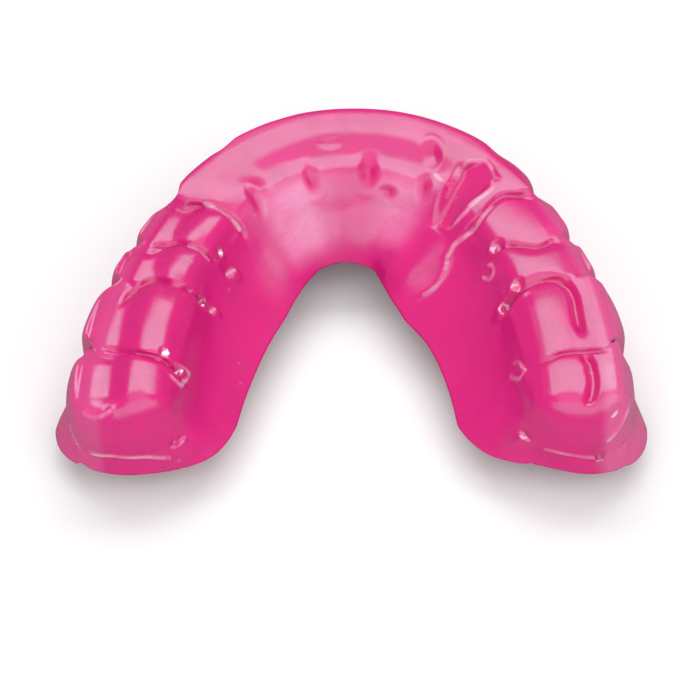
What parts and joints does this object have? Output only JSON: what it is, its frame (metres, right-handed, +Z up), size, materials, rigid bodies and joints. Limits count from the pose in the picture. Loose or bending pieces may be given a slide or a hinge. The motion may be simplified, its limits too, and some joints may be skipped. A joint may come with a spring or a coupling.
{
  "type": "custom mouthguard",
  "caption": "Thermoformed upper-arch mouthguard: a U-shaped channel with a swollen lobe over each tooth, a cheek flange and a shorter palate edge.",
  "frame": {"origin": "under the middle of the outline, in the plane that the flange's trimmed rim stands on", "axes": "+X to the right across the arch, +Y towards the front teeth, +Z up out of the tooth tops"},
  "size_m": [0.0714, 0.0504, 0.0173],
  "materials": {
    "pink_eva": "glossy translucent pink EVA, heat-formed and flame-polished"
  },
  "bodies": {
    "root": {"mouthguard": "pink_eva"}
  },
  "joints": []
}
